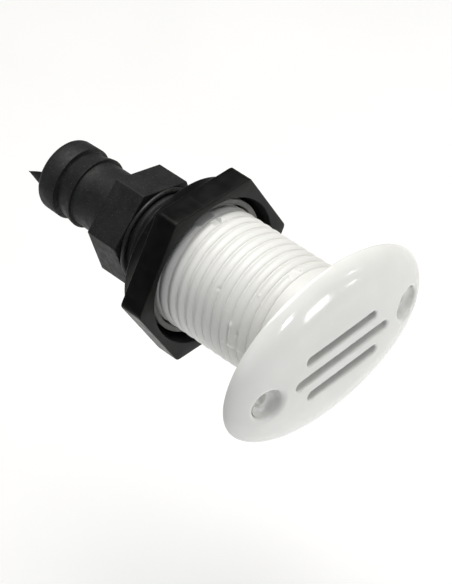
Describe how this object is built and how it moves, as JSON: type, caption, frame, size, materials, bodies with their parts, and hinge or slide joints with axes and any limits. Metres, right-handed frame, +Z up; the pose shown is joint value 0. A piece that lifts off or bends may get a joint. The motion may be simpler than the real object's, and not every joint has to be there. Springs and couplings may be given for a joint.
{
  "type": "thru hull fitting",
  "caption": "Thru-hull fitting: a slotted oval flange on a threaded stem, with a hull nut, sealing washer and a screw-in barbed hose tail.",
  "frame": {"origin": "on the stem's axis at the flange's back face, where the hull's outer skin would be", "axes": "+Y along the stem's axis towards the hose end, X along the flange's long axis, +Z up"},
  "size_m": [0.0718, 0.1109, 0.049],
  "materials": {
    "hull_white": "glossy moulded nylon",
    "nut_black": "glossy moulded, fine scuffs",
    "adapter_charcoal": "satin, fine speckle",
    "washer_grey": "matte",
    "seal_rubber": "matte"
  },
  "bodies": {
    "hull": {"hull_body": "hull_white"},
    "nut_washer": {"sealing_washer": "washer_grey"},
    "nut": {"lock_nut": "nut_black"},
    "adapter_seal": {"spigot_seal": "seal_rubber"},
    "adapter": {"hose_adapter": "adapter_charcoal"}
  },
  "joints": [
    {"name": "nut_travel", "type": "slide", "parent": "hull", "child": "nut_washer", "axis": [0, 1, 0], "range_m": [-0.035, 0.0048]},
    {"name": "nut_turn", "type": "hinge", "parent": "nut_washer", "child": "nut", "pos_m": [0, 0.0476, 0], "axis": [0, 1, 0], "range_deg": [-3960, 540]},
    {"name": "adapter_travel", "type": "slide", "parent": "hull", "child": "adapter_seal", "axis": [0, 1, 0], "range_m": [-0.0077, 0.0091]},
    {"name": "adapter_turn", "type": "hinge", "parent": "adapter_seal", "child": "adapter", "pos_m": [0, 0.0505, 0], "axis": [0, 1, 0], "range_deg": [-1512, 1800]}
  ],
  "couplings": [
    {"joint": "nut_travel", "follows": "nut_turn", "m_per_rad": 0.00050532},
    {"joint": "adapter_travel", "follows": "adapter_turn", "m_per_rad": 0.00028875}
  ]
}
